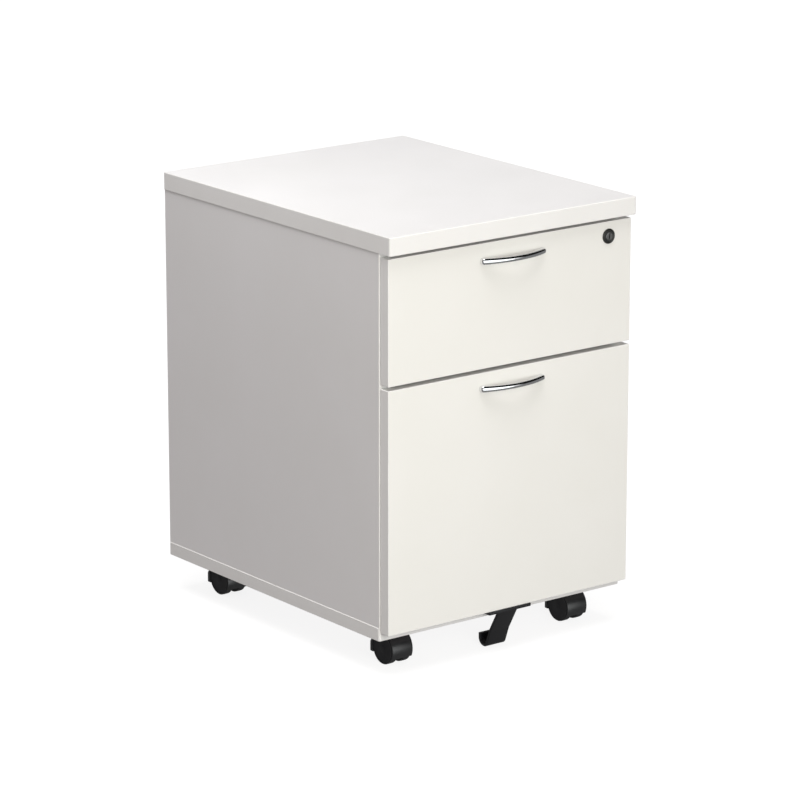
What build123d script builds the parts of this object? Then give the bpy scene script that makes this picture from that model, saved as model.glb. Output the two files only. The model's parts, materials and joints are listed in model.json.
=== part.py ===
from build123d import *
import os
from math import cos, radians, sin

# Rolling pedestal cabinet: a board carcass on four twin-wheel castors, with a
# shallow upper drawer and a double-height file drawer.
# Millimetres. X to the right, Y to the back, Z up. The origin is on the floor,
# under the middle of the outer box, which reaches from the handles to the back.

# ---- outer sizes ----
TOP_WIDTH = 404.0
TOP_DEPTH = 500.0
TOP_THICK = 24.0
CARCASS_HEIGHT = 535.0          # underside of the base to the top surface
CASTOR_HEIGHT = 49.5            # floor to the underside of the base
BASE_WIDTH = 402.5
SIDE_OUTER = 200.5              # middle of the cabinet to a side's outer face
BOARD = 18.0                    # sides and base
EDGING = 2.0                    # plastic edging on the boards
CORNER_ROUND = 3.0              # plan radius of the top and the base
EDGE_ROUND = 1.0                # small round along the edging

# ---- drawer fronts ----
FRONT_WIDTH = 398.3
FRONT_THICK = 16.0
FRONT_SETBACK = 7.4             # behind the front edge of the top
UPPER_FRONT_HEIGHT = 165.0
FILE_FRONT_HEIGHT = 324.6
FRONT_GAP = 5.2                 # under the top, and between the fronts
FRONT_EDGING = 1.0
BUFFER_GAP = 1.0                # closed front to the carcass

# ---- handles ----
HANDLE_REACH = 16.5
HANDLE_LENGTH = 105.5
HANDLE_STANDOFF = 5.0           # drawer front to the outer face of each end
HANDLE_FOOT = 9.5               # length of the solid foot along X
HANDLE_WAIST = 6.4              # thickness in the middle of the bow
HANDLE_END_TALL = 9.4
HANDLE_MIDDLE_TALL = 7.4
HANDLE_CENTRES = 96.0
HANDLE_DROP = {"upper": 23.2, "file": 20.8}    # below the top edge of its front
HANDLE_CORNER = 3.0             # plan radius of the ends
HANDLE_ROUND = 2.4
HANDLE_SCREW_IN = 3.5           # thread in the foot

# ---- back panel ----
BACK_THICK = 8.0
BACK_INSET = 8.0
BACK_GROOVE = 5.0
SIDE_SETBACK = 1.0              # rear edge of the sides, in front of the top's

# ---- drawer boxes, folded steel ----
SHEET = 1.2
HEM = 10.0
FRONT_TAB = 15.0
SLIDE_SPACE = 12.7              # side panel to drawer box
BOX_LENGTH = 435.0
UPPER_BOX = (412.0, 512.0)      # bottom and top of the box
FILE_BOX = (80.0, 330.0)
RAIL_TALL = 14.0
RAIL_THICK = 2.0
RAIL_FOOT = 8.0
RAIL_INSET = 2.0
TAB_SCREW_INSET = 8.25          # along the tab
TAB_SCREW_MARGIN = 18.0         # from the top and bottom of the box
TAB_SCREW_IN = 12.0

# ---- slides ----
SLIDE_LENGTH = 400.0
SLIDE_START = 21.3              # behind the carcass front edge
SLIDE_GAUGE = 1.2
CABINET_REACH = 10.5            # how far each member reaches from the side panel
CABINET_LIP = 3.5
MIDDLE_WEB = 2.4
MIDDLE_REACH = 11.6
MIDDLE_LIP = 4.0
DRAWER_REACH = 4.8
DRAWER_LIP = 3.4
UPPER_SLIDE_HALF = 17.5         # half heights of the members
UPPER_DRAWER_HALF = 10.0
FILE_SLIDE_HALF = 22.5
FILE_MIDDLE_HALF = 17.6
FILE_DRAWER_HALF = 12.0
UPPER_SLIDE_Z = 462.0
FILE_SLIDE_Z = 200.0

# ---- screws ----
SCREW_R = 1.75
SCREW_HEAD_R = 3.5
MACHINE_SCREW_R = 2.0
MACHINE_HEAD_R = 4.0
MACHINE_HEAD_TALL = 2.4
SLIDE_SCREW_SPOTS = (0.1, 0.45, 0.9)
SLIDE_SCREW_LENGTH = 13.0
CASTOR_SCREW_LENGTH = 15.0
CASTOR_HEAD_TALL = 1.6

# ---- carcass fittings ----
BOLT_R = 3.5
BOLT_IN_PANEL = 11.0
CAM_R = 7.5
CAM_DEEP = 12.5
CAM_SETBACK = 34.0              # from the joint to the middle of the cam
CAM_SLOT = (1.5, 5.0, 0.8)      # depth, half length, half width
DOWEL_R = 4.0
DOWEL_IN_PANEL = 12.0
DOWEL_IN_SIDE = 18.0
FITTING_INSET = 60.0            # from the front and back edges to the bolt
DOWEL_STEP = 32.0

# ---- lock ----
LOCK_X = 160.6
LOCK_DROP = 19.5                # below the top edge of the upper front
BEZEL_R = 10.0
BEZEL_TALL = 2.0
LOCK_BODY_R = 9.0
LOCK_BEHIND = 8.0               # housing behind the front board
NUT_R = 13.0
NUT_TALL = 3.0
BARREL_R = 5.5
BARREL_PROUD = 0.4              # in front of the bezel
BARREL_BEHIND = 2.0             # behind the housing
FIT = 0.05                      # radial running clearance
KEYWAY = (1.6, 7.0, 6.0)        # width, height, depth
CRANK_THICK = 2.0
CRANK_R = 6.0                   # lock axis to the crank pin
CRANK_PIN_R = 2.0
CRANK_PIN_LENGTH = 8.5
CRANK_DISC_R = 9.0
PIN_REST_ANGLE = 225.0          # seen from the front, from the right
YOKE_SLACK = 0.6

# ---- lock bar ----
BAR_THICK = 3.0
BAR_WIDE = 10.0
BAR_SLACK = 0.5
BAR_BOTTOM = 82.0
BAR_GROOVE_DEEP = 4.0
BAR_GROOVE_ENDS = (75.0, 556.0)
BAR_FROM_FRONT = 6.8            # groove, behind the carcass front edge
YOKE_TALL = 18.0
YOKE_THICK = 2.0
YOKE_INSET = 3.5                # front face of the yoke, from the bar's rear edge
YOKE_MARGIN = 4.0
GUIDE_HEIGHTS = (130.0, 350.0, 500.0)
GUIDE_SIZE = (1.0, 22.0, 12.0)

# ---- castors ----
CASTOR_X = 147.0
FRONT_AXLE_BACK = 67.8          # axle, behind the front edge of the top
REAR_AXLE_BACK = 437.8
SWIVEL_TRAIL = 13.0             # swivel pin behind the axle
WHEEL_R = 20.8
WHEEL_INNER = 5.5               # castor middle to a wheel's inner face
WHEEL_OUTER = 16.1
WHEEL_ROUND = 1.2
HOOD_HALF = 16.3
HOOD_INNER_R = 21.5
HOOD_OUTER_R = 23.0
HOOD_REAR = 26.0                # axle to the rear face of the hood
HOOD_FRONT_DROP = 10.2          # hood's front edge below the axle
HOOD_REAR_DROP = 8.8
HOOD_SLOPE_ANGLE = 40.0         # where the sloped back leaves the round shell
HOOD_WEB = 4.0                  # half thickness of the web between the wheels
WEB_DROP = 6.0
NECK_R = 5.2
COLLAR_R = 8.0
COLLAR_TOP = 46.9
SWIVEL_PIN_R = 3.5
SWIVEL_PIN_END = 16.0
PIN_END_GAP = 0.4
CASTOR_AXLE_R = 2.5
CASTOR_AXLE_HALF = 14.0
AXLE_END_GAP = 0.5
PLATE_SIZE = 38.0
PLATE_THICK = 2.0
PLATE_CORNER = 4.0
PLATE_HOLE = 14.0

# ---- anti-tilt foot ----
FOOT_PLATE_WIDE = 70.0
FOOT_PLATE_DEEP = 16.0
FOOT_BRIDGE = 5.0               # depth of the plate in front of the strip
FOOT_PROUD = 2.0                # in front of the drawer front
FOOT_WIDE = 31.0
FOOT_THICK = 4.0
FOOT_CLEARANCE = 1.2            # above the floor
FOOT_BEND = 3.4                 # drawer front's face back to the bend
FOOT_SLOPE = (18.3, 32.6)       # run and drop of the slope
FOOT_LEG_RUN = 8.4
FOOT_TOE = 13.5
FOOT_TIP_Z = 17.5
FOOT_RADII = (5.0, 12.0, 5.5, 8.5)
FOOT_SCREW = (26.0, 10.0, 15.0)  # X, behind the plate's front edge, length

# ---- positions worked out from the sizes ----
Y_BACK = (TOP_DEPTH - FRONT_SETBACK + HANDLE_REACH) / 2
Y_TOP_FRONT = Y_BACK - TOP_DEPTH
Y_FACE = Y_TOP_FRONT + FRONT_SETBACK
Y_FRONT_REAR = Y_FACE + FRONT_THICK
Y_CARCASS = Y_FRONT_REAR + BUFFER_GAP
Y_SLIDE = Y_CARCASS + SLIDE_START
Z_BASE = CASTOR_HEIGHT
Z_BASE_TOP = Z_BASE + BOARD
Z_TOP = CASTOR_HEIGHT + CARCASS_HEIGHT
Z_TOP_UNDER = Z_TOP - TOP_THICK
SIDE_INNER = SIDE_OUTER - BOARD
SIDE_MIDDLE = SIDE_OUTER - BOARD / 2
BOX_HALF = SIDE_INNER - SLIDE_SPACE
BOX_REAR = Y_FRONT_REAR + BOX_LENGTH
UPPER_FRONT_TOP = Z_TOP_UNDER - FRONT_GAP
UPPER_FRONT_BOTTOM = UPPER_FRONT_TOP - UPPER_FRONT_HEIGHT
FILE_FRONT_TOP = UPPER_FRONT_BOTTOM - FRONT_GAP
FILE_FRONT_BOTTOM = FILE_FRONT_TOP - FILE_FRONT_HEIGHT
LOCK_Z = UPPER_FRONT_TOP - LOCK_DROP
BARREL_END = Y_FRONT_REAR + LOCK_BEHIND + BARREL_BEHIND
PIN_X = LOCK_X + CRANK_R * cos(radians(PIN_REST_ANGLE))
PIN_Z = LOCK_Z + CRANK_R * sin(radians(PIN_REST_ANGLE))
Y_BAR = Y_CARCASS + BAR_FROM_FRONT + BAR_SLACK
AXLE_YS = {"front": Y_TOP_FRONT + FRONT_AXLE_BACK, "rear": Y_TOP_FRONT + REAR_AXLE_BACK}


# ---- plain shapes ----
def block(x0, x1, y0, y1, z0, z1):
    """A box between two corners, whichever way round the X values come."""
    low_x, high_x = min(x0, x1), max(x0, x1)
    centre = ((low_x + high_x) / 2, (y0 + y1) / 2, (z0 + z1) / 2)
    return Pos(*centre) * Box(high_x - low_x, y1 - y0, z1 - z0)


def rod(start, axis, radius, length):
    """A round bar from a point, along +X, -X, +Y, -Y, +Z or -Z."""
    plane = Plane(origin=start, z_dir=axis)
    return extrude(plane * Circle(radius), length)


def countersunk_screw(head, axis, length):
    """A flush screw: a cone at the head, a shank, pointing along the axis."""
    plane = Plane(origin=head, z_dir=axis)
    cone_tall = SCREW_HEAD_R - SCREW_R
    cone = plane * Pos(0, 0, cone_tall / 2) * Cone(SCREW_HEAD_R, SCREW_R, cone_tall)
    return cone + rod(head, axis, SCREW_R, length)


def pan_screw(seat, axis, length):
    """A machine screw: the head stands back from the seat, the shank goes in."""
    back = tuple(-MACHINE_HEAD_TALL * part for part in axis)
    head_start = tuple(seat[i] + back[i] for i in range(3))
    head = rod(head_start, axis, MACHINE_HEAD_R, MACHINE_HEAD_TALL)
    return head + rod(seat, axis, MACHINE_SCREW_R, length)


def group(solids):
    """Separate solids that share one node."""
    return Compound(children=[s if isinstance(s, Solid) else s.solid() for s in solids])


def cut(body, tools):
    for tool in tools:
        body = body - tool
    return body


def edged_board(x_half, y0, y1, z0, z1):
    """A board with edging all round: the core and the closed ring of edging."""
    outer = block(-x_half, x_half, y0, y1, z0, z1)
    outer = fillet(outer.edges().filter_by(Axis.Z), CORNER_ROUND)
    top_and_bottom = outer.faces().filter_by(Axis.Z).edges()
    outer = fillet(top_and_bottom, EDGE_ROUND)
    core = block(-x_half + EDGING, x_half - EDGING, y0 + EDGING, y1 - EDGING, z0, z1)
    return core, outer - core


# ---- carcass fittings ----
def fitting_rows():
    """Where the bolts stand: side, front or back, top or base joint."""
    for side in (-1, 1):
        for y in (Y_CARCASS + FITTING_INSET, Y_BACK - FITTING_INSET):
            for joint_z, inward in ((Z_TOP_UNDER, -1), (Z_BASE_TOP, 1)):
                yield side, y, joint_z, inward


def cam_bolts():
    bolts = []
    for side, y, joint_z, inward in fitting_rows():
        start = (side * SIDE_MIDDLE, y, joint_z - inward * BOLT_IN_PANEL)
        bolts.append(rod(start, (0, 0, inward), BOLT_R, BOLT_IN_PANEL + CAM_SETBACK))
    return bolts


def cam_blanks():
    """The cams before the bolt's mouth is cut into them."""
    cams = []
    for side, y, joint_z, inward in fitting_rows():
        start = (side * SIDE_INNER, y, joint_z + inward * CAM_SETBACK)
        cams.append(rod(start, (side, 0, 0), CAM_R, CAM_DEEP))
    return cams


def cam_locks():
    """Round cams with a mouth for the bolt and a cross slot for a screwdriver."""
    cams = []
    for blank, bolt, row in zip(cam_blanks(), cam_bolts(), fitting_rows()):
        side, y, joint_z, inward = row
        z = joint_z + inward * CAM_SETBACK
        deep, half_long, half_wide = CAM_SLOT
        x0, x1 = side * SIDE_INNER, side * (SIDE_INNER + deep)
        slot = block(x0, x1, y - half_long, y + half_long, z - half_wide, z + half_wide)
        cams.append(blank - bolt - slot)
    return cams


def dowels():
    pins = []
    for side, y, joint_z, inward in fitting_rows():
        towards_middle = 1 if y < 0 else -1
        y_pin = y + towards_middle * DOWEL_STEP
        start = (side * SIDE_MIDDLE, y_pin, joint_z - inward * DOWEL_IN_PANEL)
        pins.append(rod(start, (0, 0, inward), DOWEL_R, DOWEL_IN_PANEL + DOWEL_IN_SIDE))
    return pins


# ---- carcass boards ----
def side_panel(side):
    outer, inner = side * SIDE_OUTER, side * SIDE_INNER
    board = block(outer, inner, Y_CARCASS + EDGING, Y_BACK - SIDE_SETBACK, Z_BASE_TOP, Z_TOP_UNDER)
    groove_floor = side * (SIDE_INNER + BACK_GROOVE)
    y_back = Y_BACK - BACK_INSET
    board -= block(inner, groove_floor, y_back - BACK_THICK, y_back, Z_BASE_TOP, Z_TOP_UNDER)
    if side > 0:
        board -= bar_groove()
    tools = cam_blanks() + cam_bolts() + dowels() + slide_screws()
    return cut(board, [t for t in tools if t.center().X * side > 0])


def side_edging():
    """Edging on the front edge of both sides, rounded along its front corners."""
    strips = []
    for side in (-1, 1):
        strip = block(side * SIDE_OUTER, side * SIDE_INNER,
                      Y_CARCASS, Y_CARCASS + EDGING, Z_BASE_TOP, Z_TOP_UNDER)
        front = strip.edges().filter_by(Axis.Z).group_by(Axis.Y)[0]
        strips.append(fillet(front, EDGE_ROUND))
    return strips


def top_panel():
    core, edging = edged_board(TOP_WIDTH / 2, Y_TOP_FRONT, Y_BACK, Z_TOP_UNDER, Z_TOP)
    return cut(core, cam_bolts() + dowels()), edging


def base_panel():
    core, edging = edged_board(BASE_WIDTH / 2, Y_CARCASS, Y_BACK, Z_BASE, Z_BASE_TOP)
    return cut(core, cam_bolts() + dowels() + castor_screws()), edging


def back_panel():
    half = SIDE_INNER + BACK_GROOVE
    y1 = Y_BACK - BACK_INSET
    return block(-half, half, y1 - BACK_THICK, y1, Z_BASE_TOP, Z_TOP_UNDER)


# ---- slides ----
def channel(side, z_mid, half, web, reach, lip):
    """A slide member: an upright web, and above and below it a flange that ends in a lip.

    web and reach are distances from the side panel: the web's back, and the lip's
    outer face. A member that reaches back towards the panel has reach < web.
    """
    way = 1 if reach > web else -1
    web_face, lip_face = web + way * SLIDE_GAUGE, reach - way * SLIDE_GAUGE
    inner = half - SLIDE_GAUGE

    def strip(u0, u1, w0, w1):
        return block(side * (SIDE_INNER - u0), side * (SIDE_INNER - u1),
                     Y_SLIDE, Y_SLIDE + SLIDE_LENGTH, z_mid + w0, z_mid + w1)

    member = strip(web, web_face, -half, half)
    member += strip(web_face, reach, inner, half) + strip(web_face, reach, -half, -inner)
    member += strip(lip_face, reach, half - lip, inner) + strip(lip_face, reach, -inner, lip - half)
    return member


def cabinet_member(side, half, z_mid):
    return cut(channel(side, z_mid, half, 0.0, CABINET_REACH, CABINET_LIP), slide_screws())


def middle_member(side):
    return channel(side, FILE_SLIDE_Z, FILE_MIDDLE_HALF, MIDDLE_WEB, MIDDLE_REACH, MIDDLE_LIP)


def drawer_member(side, half, z_mid):
    return channel(side, z_mid, half, SLIDE_SPACE, DRAWER_REACH, DRAWER_LIP)


def slide_screws():
    """Three screws through each cabinet member into its side panel."""
    screws = []
    for side in (-1, 1):
        for z in (UPPER_SLIDE_Z, FILE_SLIDE_Z):
            for along in SLIDE_SCREW_SPOTS:
                head = (side * (SIDE_INNER - SLIDE_GAUGE), Y_SLIDE + along * SLIDE_LENGTH, z)
                screws.append(countersunk_screw(head, (side, 0, 0), SLIDE_SCREW_LENGTH))
    return screws


# ---- drawer fronts and boxes ----
def drawer_front(z0, z1, holes):
    """A board with thin edging round its four narrow faces."""
    half = FRONT_WIDTH / 2
    outer = block(-half, half, Y_FACE, Y_FRONT_REAR, z0, z1)
    outer = fillet(outer.edges().filter_by(Axis.Y), EDGE_ROUND)
    outer = fillet(outer.faces().sort_by(Axis.Y)[0].edges(), FRONT_EDGING * 0.6)
    core = block(-half + FRONT_EDGING, half - FRONT_EDGING, Y_FACE, Y_FRONT_REAR,
                 z0 + FRONT_EDGING, z1 - FRONT_EDGING)
    return cut(core, holes), cut(outer - core, holes)


def box_side(side, z0, z1, screws):
    """A folded steel side: web, hems along the top and bottom, a front tab."""
    outer, inner = side * BOX_HALF, side * (BOX_HALF - SHEET)
    wall = block(outer, inner, Y_FRONT_REAR, BOX_REAR, z0, z1)
    hem_edge = side * (BOX_HALF - SHEET - HEM)
    wall += block(inner, hem_edge, Y_FRONT_REAR, BOX_REAR, z1 - SHEET, z1)
    wall += block(inner, hem_edge, Y_FRONT_REAR, BOX_REAR, z0, z0 + SHEET)
    tab_edge = side * (BOX_HALF - SHEET - FRONT_TAB)
    wall += block(inner, tab_edge, Y_FRONT_REAR, Y_FRONT_REAR + SHEET, z0, z1)
    return cut(wall, screws)


def box_bottom(z0):
    half = BOX_HALF - SHEET
    y0, y1 = Y_FRONT_REAR + SHEET, BOX_REAR - SHEET
    return block(-half, half, y0, y1, z0 + SHEET, z0 + 2 * SHEET)


def box_back(z0, z1):
    half = BOX_HALF - SHEET
    return block(-half, half, BOX_REAR - SHEET, BOX_REAR, z0 + SHEET, z1 - SHEET)


def tab_screws(z0, z1):
    """Three screws in each front tab hold the box to its front."""
    x_screw = BOX_HALF - SHEET - TAB_SCREW_INSET
    screws = []
    for side in (-1, 1):
        for z in (z0 + TAB_SCREW_MARGIN, (z0 + z1) / 2, z1 - TAB_SCREW_MARGIN):
            seat = (side * x_screw, Y_FRONT_REAR + SHEET, z)
            screws.append(pan_screw(seat, (0, -1, 0), TAB_SCREW_IN))
    return screws


def handle_screws(z):
    length = FRONT_THICK + HANDLE_SCREW_IN
    return [pan_screw((side * HANDLE_CENTRES / 2, Y_FRONT_REAR, z), (0, -1, 0), length)
            for side in (-1, 1)]


def file_rails():
    """Two angle rails on the file box's hems; hanging files hook over them."""
    rails = []
    z0 = FILE_BOX[1]
    for side in (-1, 1):
        outer = side * (BOX_HALF - SHEET - RAIL_INSET)
        upright = block(outer, outer - side * RAIL_THICK,
                        Y_FRONT_REAR + SHEET, BOX_REAR, z0, z0 + RAIL_TALL)
        foot = block(outer, outer - side * RAIL_FOOT,
                     Y_FRONT_REAR + SHEET, BOX_REAR, z0, z0 + SHEET)
        rails.append(upright + foot)
    return rails


# ---- handle ----
def handle(z):
    """A bow at a height z: two plan arcs give its outline, two more thin it to the middle."""
    half = HANDLE_LENGTH / 2
    inner_half = half - HANDLE_FOOT
    front_end = -HANDLE_STANDOFF
    outer_arc = ThreePointArc((-half, front_end), (0, -HANDLE_REACH), (half, front_end))
    inner_arc = ThreePointArc((inner_half, 0), (0, HANDLE_WAIST - HANDLE_REACH), (-inner_half, 0))
    right_end = Polyline((half, front_end), (half, 0), (inner_half, 0))
    left_end = Polyline((-inner_half, 0), (-half, 0), (-half, front_end))
    plan = make_face([outer_arc, right_end, inner_arc, left_end])
    plan = fillet([v for v in plan.vertices() if v.Y < front_end / 2], HANDLE_CORNER)
    bow = extrude(Pos(0, Y_FACE, z - HANDLE_END_TALL / 2) * plan, HANDLE_END_TALL)
    tall, waist = HANDLE_END_TALL / 2, HANDLE_MIDDLE_TALL / 2
    over = ThreePointArc((-half, tall), (0, waist), (half, tall))
    under = ThreePointArc((half, -tall), (0, -waist), (-half, -tall))
    sides = [Line((half, tall), (half, -tall)), Line((-half, -tall), (-half, tall))]
    view = make_face([over, under] + sides)
    plane = Plane(origin=(0, Y_FACE, z), x_dir=(1, 0, 0), z_dir=(0, -1, 0))
    bow = bow & extrude(plane * view, HANDLE_REACH)
    rims = bow.faces().sort_by(Axis.Y)[-2:].edges()
    long_edges = [e for e in bow.edges() if e not in rims and abs(e.tangent_at(0.5).Z) < 0.5]
    bow = fillet(long_edges, HANDLE_ROUND)
    return cut(bow, handle_screws(z))


# ---- lock ----
def lock_housing():
    """Bezel and body, bored for the barrel."""
    bezel = rod((LOCK_X, Y_FACE, LOCK_Z), (0, -1, 0), BEZEL_R, BEZEL_TALL)
    rim = bezel.edges().sort_by(Axis.Y)[0]
    bezel = fillet(rim, 0.8)
    body = rod((LOCK_X, Y_FACE, LOCK_Z), (0, 1, 0), LOCK_BODY_R, FRONT_THICK + LOCK_BEHIND)
    bore = rod((LOCK_X, Y_FACE - BEZEL_TALL, LOCK_Z), (0, 1, 0), BARREL_R + FIT,
               BEZEL_TALL + FRONT_THICK + LOCK_BEHIND)
    return bezel + body - bore


def lock_hole():
    return rod((LOCK_X, Y_FACE, LOCK_Z), (0, 1, 0), LOCK_BODY_R, FRONT_THICK)


def lock_nut():
    nut = rod((LOCK_X, Y_FRONT_REAR, LOCK_Z), (0, 1, 0), NUT_R, NUT_TALL)
    return nut - rod((LOCK_X, Y_FRONT_REAR, LOCK_Z), (0, 1, 0), LOCK_BODY_R, NUT_TALL)


def lock_barrel():
    """The turning barrel, a little proud of the bezel, with its keyway."""
    start = Y_FACE - BEZEL_TALL - BARREL_PROUD
    barrel = rod((LOCK_X, start, LOCK_Z), (0, 1, 0), BARREL_R, BARREL_END - start)
    wide, tall, deep = KEYWAY
    return barrel - block(LOCK_X - wide / 2, LOCK_X + wide / 2, start, start + deep,
                          LOCK_Z - tall / 2, LOCK_Z + tall / 2)


def lock_crank():
    """A disc on the barrel's end, with the pin that lifts the lock bar."""
    disc = rod((LOCK_X, BARREL_END, LOCK_Z), (0, 1, 0), CRANK_DISC_R, CRANK_THICK)
    pin = rod((PIN_X, BARREL_END, PIN_Z), (0, 1, 0), CRANK_PIN_R, CRANK_PIN_LENGTH)
    return disc + pin


def lock_bar():
    """A strip in the right side's groove, with a slotted yoke over the crank pin."""
    x0 = SIDE_INNER + BAR_SLACK
    yoke_top = PIN_Z + YOKE_TALL / 2
    strip = block(x0, x0 + BAR_THICK, Y_BAR, Y_BAR + BAR_WIDE, BAR_BOTTOM, yoke_top)
    y0 = Y_BAR + BAR_WIDE - YOKE_INSET
    reach = CRANK_R + CRANK_PIN_R + YOKE_SLACK
    yoke = block(LOCK_X - reach - YOKE_MARGIN, x0 + BAR_THICK, y0, y0 + YOKE_THICK,
                 yoke_top - YOKE_TALL, yoke_top)
    slot_half = CRANK_PIN_R + YOKE_SLACK
    slot = block(LOCK_X - reach, PIN_X + slot_half, y0, y0 + YOKE_THICK,
                 PIN_Z - slot_half, PIN_Z + slot_half)
    return strip + yoke - slot


def bar_groove():
    z0, z1 = BAR_GROOVE_ENDS
    y0 = Y_CARCASS + BAR_FROM_FRONT
    return block(SIDE_INNER, SIDE_INNER + BAR_GROOVE_DEEP, y0, y0 + BAR_WIDE + 2 * BAR_SLACK, z0, z1)


def bar_guides():
    """Thin clips across the groove keep the bar in it."""
    thick, wide, tall = GUIDE_SIZE
    y_mid = Y_BAR + BAR_WIDE / 2
    return [block(SIDE_INNER - thick, SIDE_INNER, y_mid - wide / 2, y_mid + wide / 2,
                  z - tall / 2, z + tall / 2) for z in GUIDE_HEIGHTS]


# ---- castors ----
def castor_places():
    for end, axle_y in AXLE_YS.items():
        for hand, side in (("left", -1), ("right", 1)):
            yield end + "_" + hand, side * CASTOR_X, axle_y


def castor_plates():
    """Square plates with the swivel pins riveted into them."""
    plates = []
    for _, x, axle_y in castor_places():
        y = axle_y + SWIVEL_TRAIL
        z0 = Z_BASE - PLATE_THICK
        half = PLATE_SIZE / 2
        plate = block(x - half, x + half, y - half, y + half, z0, Z_BASE)
        plate = fillet(plate.edges().filter_by(Axis.Z), PLATE_CORNER)
        plate += rod((x, y, z0), (0, 0, -1), SWIVEL_PIN_R, z0 - SWIVEL_PIN_END)
        plates.append(cut(plate, castor_screws_at(x, y)))
    return plates


def castor_screws_at(x, y):
    """Four round-head screws up through a plate into the base."""
    screws = []
    z0 = Z_BASE - PLATE_THICK
    for dx in (-PLATE_HOLE, PLATE_HOLE):
        for dy in (-PLATE_HOLE, PLATE_HOLE):
            shank = rod((x + dx, y + dy, z0), (0, 0, 1), SCREW_R, CASTOR_SCREW_LENGTH)
            head = rod((x + dx, y + dy, z0), (0, 0, -1), SCREW_HEAD_R, CASTOR_HEAD_TALL)
            screws.append(shank + head)
    return screws


def castor_screws():
    screws = []
    for _, x, axle_y in castor_places():
        screws += castor_screws_at(x, axle_y + SWIVEL_TRAIL)
    return screws


def hood_back():
    """Side view of the hood's back: it slopes off the round shell to an upright rear lip."""
    slope = radians(HOOD_SLOPE_ANGLE)
    leave = (HOOD_OUTER_R * cos(slope), HOOD_OUTER_R * sin(slope))
    knee_z = leave[1] - (HOOD_REAR - leave[0]) / sin(slope) * cos(slope)
    lip = (HOOD_REAR, -HOOD_REAR_DROP)
    corners = [(0, 0), (0, -HOOD_REAR_DROP), lip, (HOOD_REAR, knee_z), leave]
    return make_face(Polyline(*corners, close=True))


def castor_hood(x, axle_y):
    """A shell over both wheels, closed at the front, with a web and a neck."""
    side_view = Plane(origin=(x, axle_y, WHEEL_R), x_dir=(0, 1, 0), z_dir=(1, 0, 0))
    shell = Circle(HOOD_OUTER_R) + hood_back() - Circle(HOOD_INNER_R)
    below = 2 * HOOD_OUTER_R
    shell -= Pos(0, -HOOD_FRONT_DROP - below / 2) * Rectangle(3 * HOOD_OUTER_R, below)
    hood = extrude(side_view * shell, HOOD_HALF, both=True)
    web = Circle(HOOD_INNER_R) - Pos(0, -WEB_DROP - below / 2) * Rectangle(below, below)
    hood += extrude(side_view * web, HOOD_WEB, both=True)
    y_pin = axle_y + SWIVEL_TRAIL
    neck_bottom = WHEEL_R - WEB_DROP
    hood += rod((x, y_pin, neck_bottom), (0, 0, 1), NECK_R, COLLAR_TOP - neck_bottom)
    collar = rod((x, y_pin, WHEEL_R), (0, 0, 1), COLLAR_R, COLLAR_TOP - WHEEL_R)
    wheel_room = rod((x - 2 * HOOD_HALF, axle_y, WHEEL_R), (1, 0, 0), HOOD_INNER_R, 4 * HOOD_HALF)
    hood += collar - wheel_room
    pin_room = SWIVEL_PIN_END - PIN_END_GAP
    hood -= rod((x, y_pin, pin_room), (0, 0, 1), SWIVEL_PIN_R + FIT, COLLAR_TOP - pin_room)
    return hood - castor_axle(x, axle_y)


def castor_axle(x, axle_y):
    start = (x - CASTOR_AXLE_HALF, axle_y, WHEEL_R)
    return rod(start, (1, 0, 0), CASTOR_AXLE_R, 2 * CASTOR_AXLE_HALF)


def castor_wheel(x, axle_y, side):
    """A wheel with a plain outer disc and a blind bore on its inner face."""
    start = (x + side * WHEEL_INNER, axle_y, WHEEL_R)
    wheel = rod(start, (side, 0, 0), WHEEL_R, WHEEL_OUTER - WHEEL_INNER)
    wheel = fillet(wheel.edges(), WHEEL_ROUND)
    depth = CASTOR_AXLE_HALF - WHEEL_INNER + AXLE_END_GAP
    return wheel - rod(start, (side, 0, 0), CASTOR_AXLE_R + FIT, depth)


# ---- anti-tilt foot ----
def foot_screws():
    x, back, length = FOOT_SCREW
    y = Y_FACE - FOOT_PROUD + back
    z = FILE_FRONT_BOTTOM - FOOT_THICK
    return [countersunk_screw((side * x, y, z), (0, 0, 1), length) for side in (-1, 1)]


def anti_tilt_foot():
    """A bent strip: a plate under the file front, a slope down and a rolled toe."""
    z_plate = FILE_FRONT_BOTTOM - FOOT_THICK / 2
    y_plate = Y_FACE - FOOT_PROUD
    z_toe = FOOT_CLEARANCE + FOOT_THICK / 2
    slope_run, slope_drop = FOOT_SLOPE
    y_bend = Y_FACE + FOOT_BEND
    y_knee, z_knee = y_bend + slope_run, z_plate - slope_drop
    y_toe = y_knee + FOOT_LEG_RUN
    y_tip = y_toe + FOOT_TOE
    path = FilletPolyline((y_plate + FOOT_PROUD / 2, z_plate), (y_bend, z_plate), (y_knee, z_knee),
                          (y_toe, z_toe), (y_tip, z_toe), (y_tip, FOOT_TIP_Z), radius=list(FOOT_RADII))
    side_view = Plane(origin=(0, 0, 0), x_dir=(0, 1, 0), z_dir=(1, 0, 0))
    strip = extrude(side_view * trace(path, FOOT_THICK), FOOT_WIDE / 2, both=True)
    half = FOOT_PLATE_WIDE / 2
    z_top = FILE_FRONT_BOTTOM
    left_ear = block(-half, -FOOT_WIDE / 2, y_plate, y_plate + FOOT_PLATE_DEEP,
                     z_top - FOOT_THICK, z_top)
    right_ear = mirror(left_ear, Plane.YZ)
    bridge = block(-half, half, y_plate, y_plate + FOOT_BRIDGE, z_top - FOOT_THICK, z_top)
    foot = strip + bridge + left_ear + right_ear
    return cut(foot, foot_screws())


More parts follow.
